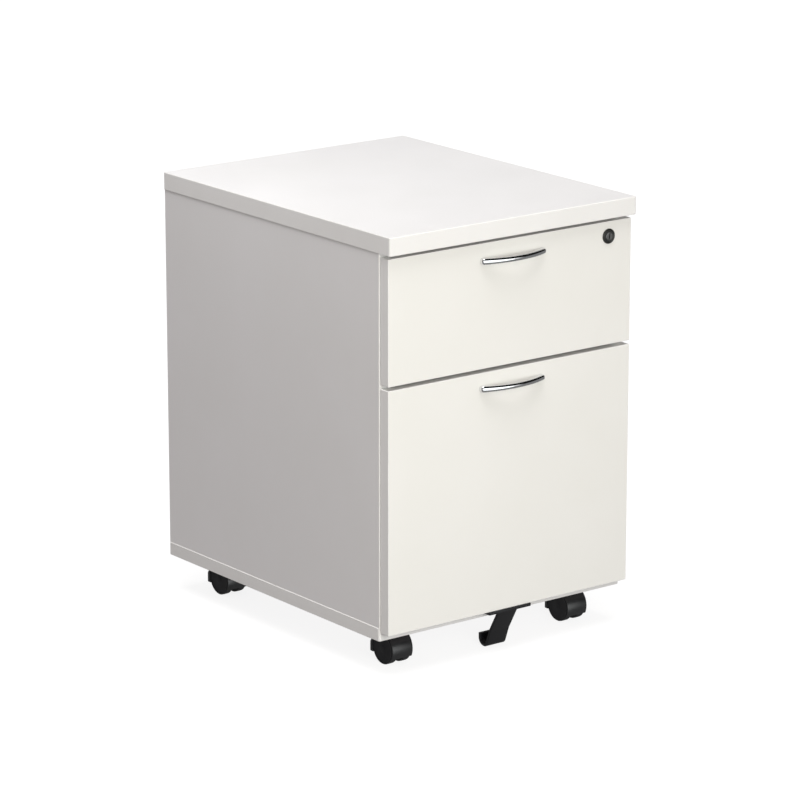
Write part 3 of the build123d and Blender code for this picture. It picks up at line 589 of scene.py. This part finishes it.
def hood_outline():
    """Side view of the shell, from the axle: outer sweep, sloped back, rear lip, inner sweep."""
    inner_r = HOOD_R - HOOD_WALL
    slope_cos, slope_sin = math.cos(math.radians(HOOD_SLOPE)), math.sin(math.radians(HOOD_SLOPE))
    front_outer = math.degrees(math.asin(HOOD_FRONT_DROP / HOOD_R))
    front_inner = math.degrees(math.asin(HOOD_FRONT_DROP / inner_r))
    rear_inner = math.degrees(math.asin(HOOD_REAR_DROP / inner_r))
    outer = arc_points((0, 0), HOOD_R, 178 + front_outer, HOOD_SLOPE, 44)
    inner = arc_points((0, 0), inner_r, 1 - rear_inner, 178.5 + front_inner, 44)
    leave = (HOOD_R * slope_cos, HOOD_R * slope_sin)
    knee = (HOOD_REAR, leave[1] - (HOOD_REAR - leave[0]) * slope_cos / slope_sin)
    lip = (inner_r * math.cos(math.radians(rear_inner)), -HOOD_REAR_DROP)
    back = round_corners([leave, knee, (HOOD_REAR, -HOOD_REAR_DROP), lip], [0, 3.0, 1.2, 0], closed=False)
    toe_inner = (-inner_r * math.cos(math.radians(front_inner)), -HOOD_FRONT_DROP)
    toe_outer = (-HOOD_R * math.cos(math.radians(front_outer)), -HOOD_FRONT_DROP)
    toe = round_corners([inner[-1], toe_inner, toe_outer, outer[0]], [0, 0.4, 0.4, 0], closed=False)
    return np.concatenate([outer[:-1], back, inner[1:-1], toe[:-1]])


def castor_hood(place):
    """Shell with rounded rims, web between the wheels, neck and collar round the swivel pin."""
    axle_low, axle_high = (np.array(corner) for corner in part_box("castor_axle_" + place))
    centre = (axle_low + axle_high) / 2

    def stand(u, v, depth):
        return np.stack([centre[0] + 0 * u + depth * MM, centre[1] + u * MM, centre[2] + v * MM], 1)

    shell = slab(hood_outline(), -HOOD_HALF, HOOD_HALF, HOOD_RIM, stand)
    foot_y, foot_z = WEB_FOOT
    web_line = np.concatenate([arc_points((0, 0), HOOD_R - WEB_GAP, 196, -16, 48),
                               [(foot_y, foot_z), (-foot_y, foot_z)]])
    web = slab(web_line, -WEB_HALF, WEB_HALF, WEB_RIM, stand)
    pin = centre + np.array([0, SWIVEL_TRAIL, 0]) * MM
    top = (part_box("castor_hood_" + place)[1].z - centre[2]) / MM
    profile = np.array([(0, NECK_LOW), (NECK_R - 0.5, NECK_LOW), (NECK_R, NECK_LOW + 0.6), (NECK_R, 14.0),
                        (COLLAR_R, 16.0), (COLLAR_R, top - 0.5), (COLLAR_R - 0.5, top), (0, top)]) * MM
    neck = turned(profile, pin, (0, 0, 1), 48)
    points, faces = join(shell, web, neck)
    add_piece("castor_shell_" + place, points, faces, FINISHES["castor_black"], "castor_" + place,
              ("castor_hood_" + place,), 32.0)


def wheel_profile():
    """Half section from the inner face to the outer: hub, hollow, rim, crowned tread, disc."""
    corner_at = WHEEL_R - WHEEL_CORNER - 0.1
    tread = arc_points((WHEEL_R - TREAD_CROWN, WHEEL_DEEP / 2), TREAD_CROWN, -3.1, 3.1, 9)
    outer_round = arc_points((corner_at, WHEEL_DEEP - 1.3), WHEEL_CORNER, 12, 82, 6)
    inner_round = arc_points((corner_at, 1.3), WHEEL_CORNER, -82, -12, 6)
    hollow = [(0, 0.3), (5.2, 0.3), (5.6, 0.7), (6.0, 4.8), (16.8, 4.8), (17.4, 0.5), (18.0, 0.15)]
    disc = [(18.7, 10.46), (18.3, 10.3), (18.0, 10.1), (17.2, 10.0), (5.2, 10.0), (4.8, 10.1),
            (4.4, 10.3), (3.9, 10.36), (0, 10.4)]
    return np.array(hollow + inner_round.tolist() + tread.tolist() + outer_round.tolist() + disc)


def castor_wheels(place):
    """Each wheel is one turned profile. Its outer disc is dished a little inside the rim."""
    for hand, side in (("left", -1), ("right", 1)):
        node = "castor_" + hand + "_wheel_" + place
        low, high = (np.array(corner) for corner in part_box(node))
        centre = (low + high) / 2
        centre[0] = high[0] if side < 0 else low[0]
        points, faces = turned(wheel_profile() * MM, centre, (side, 0, 0), 96)
        add_piece("castor_" + hand + "_tread_" + place, points, faces, FINISHES["wheel_black"], node,
                  (node,), 30.0)


# ---------------------------------------------------------------- anti-tilt foot
# The foot, in millimetres: the strip, the runs between its bends, the bends' radii and the plate.
FOOT_THICK, FOOT_WIDE, FOOT_EDGE = 4.0, 31.0, 0.6
FOOT_TOE_RUN, FOOT_LEG_RUN, FOOT_SLOPE_RUN, FOOT_SLOPE_DROP = 13.5, 8.4, 18.3, 32.6
FOOT_TIP_HEIGHT = 17.5
FOOT_BENDS = (0, 5.0, 12.0, 5.5, 8.5, 0)
PLATE_HALF, PLATE_DEEP, PLATE_NECK, PLATE_RIM = 35.0, 16.0, 5.0, 0.5
PLATE_CORNERS = (2.0, 2.0, 3.0, 1.0, 1.5, 1.5, 1.0, 3.0)


def anti_tilt_foot():
    """A strip whose round-cornered flat section follows runs and arcs, under a screwed plate."""
    low, high = (np.array(corner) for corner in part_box("anti_tilt_foot"))
    half_thick, half_wide = FOOT_THICK / 2, FOOT_WIDE / 2
    z_plate = high[2] / MM - half_thick
    z_toe = low[2] / MM + half_thick
    y_front = low[1] / MM
    y_tip = high[1] / MM - half_thick
    y_toe = y_tip - FOOT_TOE_RUN
    y_knee, z_knee = y_toe - FOOT_LEG_RUN, z_plate - FOOT_SLOPE_DROP
    y_bend = y_knee - FOOT_SLOPE_RUN
    corners = [(y_front + 1.0, z_plate), (y_bend, z_plate), (y_knee, z_knee), (y_toe, z_toe),
               (y_tip, z_toe), (y_tip, FOOT_TIP_HEIGHT)]
    path = round_corners(corners, FOOT_BENDS, 10, closed=False)
    along = np.gradient(path, axis=0)
    along /= np.linalg.norm(along, axis=1, keepdims=True)
    normal = np.stack([-along[:, 1], along[:, 0]], 1)
    section = round_corners([(-half_wide, -half_thick), (half_wide, -half_thick), (half_wide, half_thick),
                             (-half_wide, half_thick)], [FOOT_EDGE] * 4, 4)
    across = np.broadcast_to(section[:, 0], (len(path), len(section)))
    y = path[:, 0, None] + normal[:, 0, None] * section[None, :, 1]
    z = path[:, 1, None] + normal[:, 1, None] * section[None, :, 1]
    strip = tube(np.stack([across, y, z], -1) * MM)
    outline = round_corners([(-PLATE_HALF, 0), (PLATE_HALF, 0), (PLATE_HALF, PLATE_DEEP),
                             (half_wide, PLATE_DEEP), (half_wide, PLATE_NECK), (-half_wide, PLATE_NECK),
                             (-half_wide, PLATE_DEEP), (-PLATE_HALF, PLATE_DEEP)], PLATE_CORNERS)

    def lie(u, v, depth):
        return np.stack([u * MM, (v + y_front) * MM, 0 * u + (z_plate + depth) * MM], 1)

    plate = slab(outline, -half_thick, half_thick, PLATE_RIM, lie)
    points, faces = join(strip, plate)
    add_piece("anti_tilt_foot_strip", points, faces, FINISHES["foot_black"], "file_drawer",
              ("anti_tilt_foot",), 35.0)


# ---------------------------------------------------------------- screw heads
def cross_outline(count, arm, half_width):
    """A plus sign with one point per direction, so that it pairs with a circle's points."""
    angle = np.linspace(0, 2 * np.pi, count, endpoint=False)
    c, s = np.abs(np.cos(angle)), np.abs(np.sin(angle))
    small = np.maximum(np.minimum(c, s), 1e-6)
    big = np.maximum(c, s)
    radius = np.where(small * arm / big <= half_width, arm / big, half_width / small)
    return np.stack([radius * np.cos(angle), radius * np.sin(angle)], 1)


def screw_head(seat, axis, head_r, tall):
    """A head that domes from its rim to a cross recess, on a short shank along the axis.

    Rings: circles at the rim and over the dome, then the cross outline at the top and again
    at the recess floor, a little smaller.
    """
    count = 32
    angle = np.linspace(0, 2 * np.pi, count, endpoint=False)
    circle = np.stack([np.cos(angle), np.sin(angle)], 1)
    cross = cross_outline(count, head_r * 0.52, head_r * 0.13)
    crown = tall * 0.55
    flats = [(0.45 * head_r * circle, -2.0), (0.45 * head_r * circle, 0.0), (head_r * circle, 0.0),
             (head_r * circle, crown * 0.8), (0.93 * head_r * circle, crown), (0.7 * head_r * circle, tall),
             (cross * 1.04, tall), (cross, tall - 0.15), (cross * 0.8, tall - min(1.6, tall * 0.7))]
    axis = np.asarray(axis, float)
    side = np.array([0.0, 0.0, 1.0]) if abs(axis[2]) < 0.5 else np.array([1.0, 0.0, 0.0])
    u = np.cross(side, axis)
    v = np.cross(axis, u)
    rings = np.stack([flat[:, 0, None] * u + flat[:, 1, None] * v - depth * axis
                      for flat, depth in flats])
    return tube(rings * MM + np.asarray(seat, float))


def separate_boxes(node):
    """The low and high corner of each separate solid in a node, from its connected triangles."""
    mesh = NODES[node].data
    points = np.zeros(len(mesh.vertices) * 3, np.float32)
    mesh.vertices.foreach_get("co", points)
    points = points.reshape(-1, 3).astype(float)
    _, same = np.unique(np.round(points, 6), axis=0, return_inverse=True)
    same = same.ravel()
    edges = np.zeros(len(mesh.edges) * 2, np.int64)
    mesh.edges.foreach_get("vertices", edges)
    ends = same[edges.reshape(-1, 2)]
    label = np.arange(same.max() + 1)
    while True:
        low = np.minimum(label[ends[:, 0]], label[ends[:, 1]])
        new = label.copy()
        np.minimum.at(new, ends[:, 0], low)
        np.minimum.at(new, ends[:, 1], low)
        new = new[new]
        if (new == label).all():
            break
        label = new
    solids = label[same]
    return [(points[solids == k].min(0), points[solids == k].max(0)) for k in np.unique(solids)]


# For each screw node: how far its head stands out of its seat, in millimetres, and which way
# its shank points.
HEAD_ENDS = {"upper_drawer_screws": (2.4, -1), "file_drawer_screws": (2.4, -1), "castor_screws": (1.6, 1)}


def screw_set(name, node, body, slot, head_r, tall):
    """Detailed heads in place of a node's plain ones, each where the plain screw is."""
    skins = []
    for low, high in separate_boxes(node):
        long = int(np.argmax(high - low))
        seat, axis = (low + high) / 2, np.zeros(3)
        stand_out, axis[long] = HEAD_ENDS[node]
        end = low[long] if axis[long] > 0 else high[long]
        seat[long] = end + axis[long] * stand_out * MM
        skins.append(screw_head(seat, axis, head_r, tall))
    points, faces = join(*skins)
    add_piece(name, points, faces, FINISHES[slot], body, (node,), 30.0)


# ---------------------------------------------------------------- floor, light and camera
FLOOR_HALF, FLOOR_LINES, FLOOR_GLOW = 30.0, 9, 0.86


def floor():
    """A plain pale floor. It glows, so that shadows on it stay soft and light.

    It neither lights the object nor is mirrored in it.
    """
    steps = np.linspace(-FLOOR_HALF, FLOOR_HALF, FLOOR_LINES)
    x, y = np.meshgrid(steps, steps, indexing="xy")
    points = np.stack([x, y, 0 * x], -1).reshape(-1, 3)
    mesh = bpy.data.meshes.new("studio_floor")
    faces = grid_faces(FLOOR_LINES, FLOOR_LINES, close_columns=False)
    mesh.from_pydata(points.tolist(), [], faces)
    material, tree, shader, vector = finish_material("studio_floor", (0.2, 0.2, 0.2), 0.9)
    mottle = noise(tree, vector, 3.0, 3.0)
    tree.links.new(mix_colors(tree, span(tree, mottle, 0, 1), (0.2, 0.2, 0.2), (0.19, 0.19, 0.19)),
                   shader.inputs["Base Color"])
    shader.inputs["Specular IOR Level"].default_value = 0.0
    shader.inputs["Emission Color"].default_value = (1.0, 1.0, 1.0, 1.0)
    shader.inputs["Emission Strength"].default_value = FLOOR_GLOW
    mesh.materials.append(material)
    stage = bpy.data.objects.new("studio_floor", mesh)
    scene.collection.objects.link(stage)
    stage.visible_diffuse = False
    stage.visible_glossy = False
    stage.visible_shadow = False


def aim(light, direction):
    """Turns a light to shine along a direction."""
    flat = math.hypot(direction[0], direction[1])
    light.rotation_euler = (math.atan2(flat, -direction[2]), 0.0, math.atan2(-direction[0], direction[1]))


def area_light(name, place, target, size, power, color=(1.0, 1.0, 1.0)):
    """A soft rectangular light at a place, facing a target, and not mirrored in anything."""
    data = bpy.data.lights.new(name, "AREA")
    data.shape = "RECTANGLE"
    data.size, data.size_y = size
    data.energy = power
    data.color = color
    light = bpy.data.objects.new(name, data)
    scene.collection.objects.link(light)
    light.location = place
    light.visible_camera = False
    light.visible_glossy = False
    aim(light, np.array(target, float) - np.array(place, float))


def sun_light(name, direction, strength, spread, color):
    """A wide, even light from far away."""
    data = bpy.data.lights.new(name, "SUN")
    data.energy = strength
    data.angle = math.radians(spread)
    data.color = color
    light = bpy.data.objects.new(name, data)
    scene.collection.objects.link(light)
    light.visible_camera = False
    aim(light, direction)


def soft_step(tree, value, start, stop):
    """0 below start, 1 above stop, and a smooth rise between them."""
    node = tree.nodes.new("ShaderNodeMapRange")
    node.interpolation_type = "SMOOTHSTEP"
    node.inputs["From Min"].default_value = start
    node.inputs["From Max"].default_value = stop
    tree.links.new(value, node.inputs["Value"])
    return node.outputs["Result"]


def band(tree, value, rise, fall):
    """1 between two limits and 0 outside them, with a smooth edge on each side."""
    inside = maths(tree, "SUBTRACT", 1.0, soft_step(tree, value, *fall))
    return maths(tree, "MULTIPLY", soft_step(tree, value, *rise), inside)


# What glossy surfaces mirror. Bearings are in radians, 0 straight out from the drawer fronts
# and positive towards +X. Heights are the upward part of a direction of length 1, and the
# ground's edge is its downward part.
WALL_LEFT, WALL_RIGHT = (-0.8, -0.5), (0.45, 0.8)
WALL_FOOT, WALL_TOP, WALL_BRIGHTNESS = (-0.2, -0.1), (0.2, 0.3), 1.3
GROUND_EDGE, GROUND_BRIGHTNESS = (-0.1, 0.02), 0.2
CEILING_BRIGHTNESS = 0.012
# What lights matt surfaces.
BELOW_HORIZON, ABOVE_HORIZON = (0.265, 0.235, 0.235), (0.42, 0.415, 0.415)
HORIZON = (-0.05, 0.05)


def studio_room():
    """The room: even light for matt surfaces, what glossy ones mirror, and white to the camera.

    Glossy surfaces mirror a bright low wall in front, a grey ground that meets it, and a dark
    ceiling, sides and back.
    """
    world = bpy.data.worlds.new("studio")
    world.use_nodes = True
    tree = world.node_tree
    link = tree.links.new
    background = tree.nodes["Background"]
    direction = tree.nodes.new("ShaderNodeSeparateXYZ")
    link(tree.nodes.new("ShaderNodeTexCoord").outputs["Generated"], direction.inputs["Vector"])
    up = direction.outputs["Z"]
    ahead = maths(tree, "MULTIPLY", direction.outputs["Y"], -1.0)
    bearing = maths(tree, "ARCTAN2", direction.outputs["X"], ahead)
    wall = maths(tree, "MULTIPLY", band(tree, bearing, WALL_LEFT, WALL_RIGHT),
                 band(tree, up, WALL_FOOT, WALL_TOP))
    ground = soft_step(tree, maths(tree, "MULTIPLY", up, -1.0), *GROUND_EDGE)
    mirrored = maths(tree, "ADD", CEILING_BRIGHTNESS, maths(tree, "MULTIPLY", ground, GROUND_BRIGHTNESS))
    mirrored = maths(tree, "ADD", mirrored, maths(tree, "MULTIPLY", wall, WALL_BRIGHTNESS))
    path = tree.nodes.new("ShaderNodeLightPath")
    matt = mix_colors(tree, soft_step(tree, up, *HORIZON), BELOW_HORIZON, ABOVE_HORIZON)
    glossy = mix_colors(tree, mirrored, (0.0, 0.0, 0.0), (1.0, 1.0, 1.0))
    seen = mix_colors(tree, path.outputs["Is Glossy Ray"], matt, glossy)
    white = (1.0, 1.0, 1.0)
    link(mix_colors(tree, path.outputs["Is Camera Ray"], seen, white), background.inputs["Color"])
    scene.world = world


def studio():
    """An even room, a wide level light in front, light from nearly overhead, and three soft boxes."""
    studio_room()
    sun_light("front_light", (-0.1, 0.99, 0.06), 0.64, 50.0, (0.96, 1.0, 1.0))
    sun_light("ceiling_light", (0.15, 0.15, -1.0), 2.2, 40.0, (1.0, 0.975, 0.975))
    area_light("front_key", (-0.6, -1.8, 1.25), (-0.05, -0.24, 0.35), (0.9, 0.7), 3.2, (1.0, 0.85, 0.65))
    area_light("low_key", (-0.5, -1.6, 0.62), (-0.05, -0.24, 0.36), (0.7, 0.7), 9.0, (1.0, 1.0, 0.95))
    area_light("top_light", (-0.4, 0.1, 1.05), (-0.15, 0.0, 0.58), (0.4, 0.4), 0.94)
    scene.view_settings.view_transform = "Standard"


# The camera's place in metres, how far it looks down and turns right in degrees, and its lens
# in millimetres.
CAMERA_SIDE, CAMERA_AHEAD, CAMERA_UP = -3.18841, 3.9225, 1.71708
CAMERA_DOWN, CAMERA_TURN, CAMERA_LENS = 15.212, 37.431, 183.03


def camera():
    """A long lens from the front left, above the cabinet, placed from the top's front edge."""
    data = bpy.data.cameras.new("camera")
    data.sensor_width = 36.0
    data.lens = CAMERA_LENS
    data.clip_end = 60.0
    eye = bpy.data.objects.new("camera", data)
    scene.collection.objects.link(eye)
    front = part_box("top_edging")[0].y
    eye.location = (CAMERA_SIDE, front - CAMERA_AHEAD, CAMERA_UP)
    eye.rotation_euler = (math.radians(90.0 - CAMERA_DOWN), 0.0, math.radians(-CAMERA_TURN))
    scene.camera = eye


# ---------------------------------------------------------------- build
finish_cad_nodes()
for drawer in DRAWERS:
    handle(drawer)
lock_face()
lock_plug()
for place in PLACES:
    castor_hood(place)
    castor_wheels(place)
anti_tilt_foot()
screw_set("upper_drawer_screw_heads", "upper_drawer_screws", "upper_drawer", "fitting_zinc", 4.0, 2.3)
screw_set("file_drawer_screw_heads", "file_drawer_screws", "file_drawer", "fitting_zinc", 4.0, 2.3)
screw_set("castor_screw_heads", "castor_screws", "carcass", "fitting_zinc", 3.5, 1.5)
floor()
studio()
camera()
